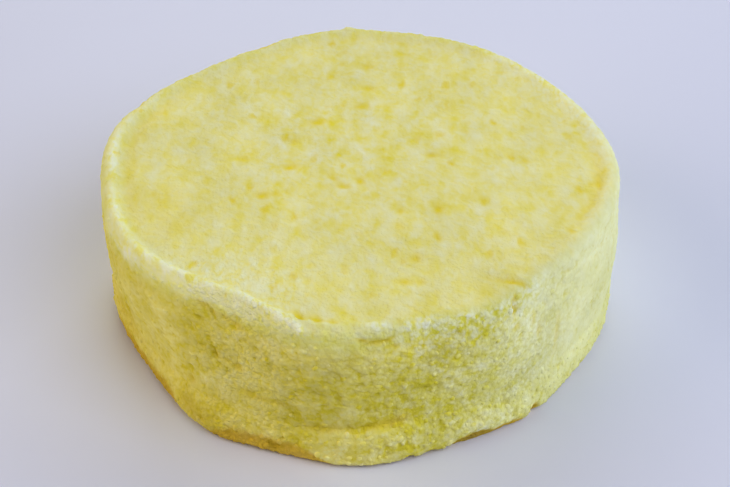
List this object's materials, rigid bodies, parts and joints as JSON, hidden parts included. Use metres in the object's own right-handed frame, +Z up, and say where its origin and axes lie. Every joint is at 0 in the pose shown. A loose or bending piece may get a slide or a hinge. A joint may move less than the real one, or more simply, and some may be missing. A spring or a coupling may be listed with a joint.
{
  "type": "cheesecake",
  "caption": "Small round crumb-coated cheesecake, uncut, on a thin sponge base, with a nearly flat top and soft uneven sides.",
  "frame": {"origin": "middle of the flat underside, under the centre of the cake's bounding box", "axes": "+Z up through the top of the cake, -Y towards its front, where the rim has its sharpest corner, +X to its right"},
  "size_m": [0.123, 0.1248, 0.0398],
  "materials": {
    "sponge": "coarse damp yellow sponge crumb, fully matte",
    "crumb_coat": "fine pale yellow sponge crumb over white cream, fully matte"
  },
  "bodies": {
    "root": {"sponge_base": "sponge", "cheese_body": "crumb_coat"}
  },
  "joints": []
}
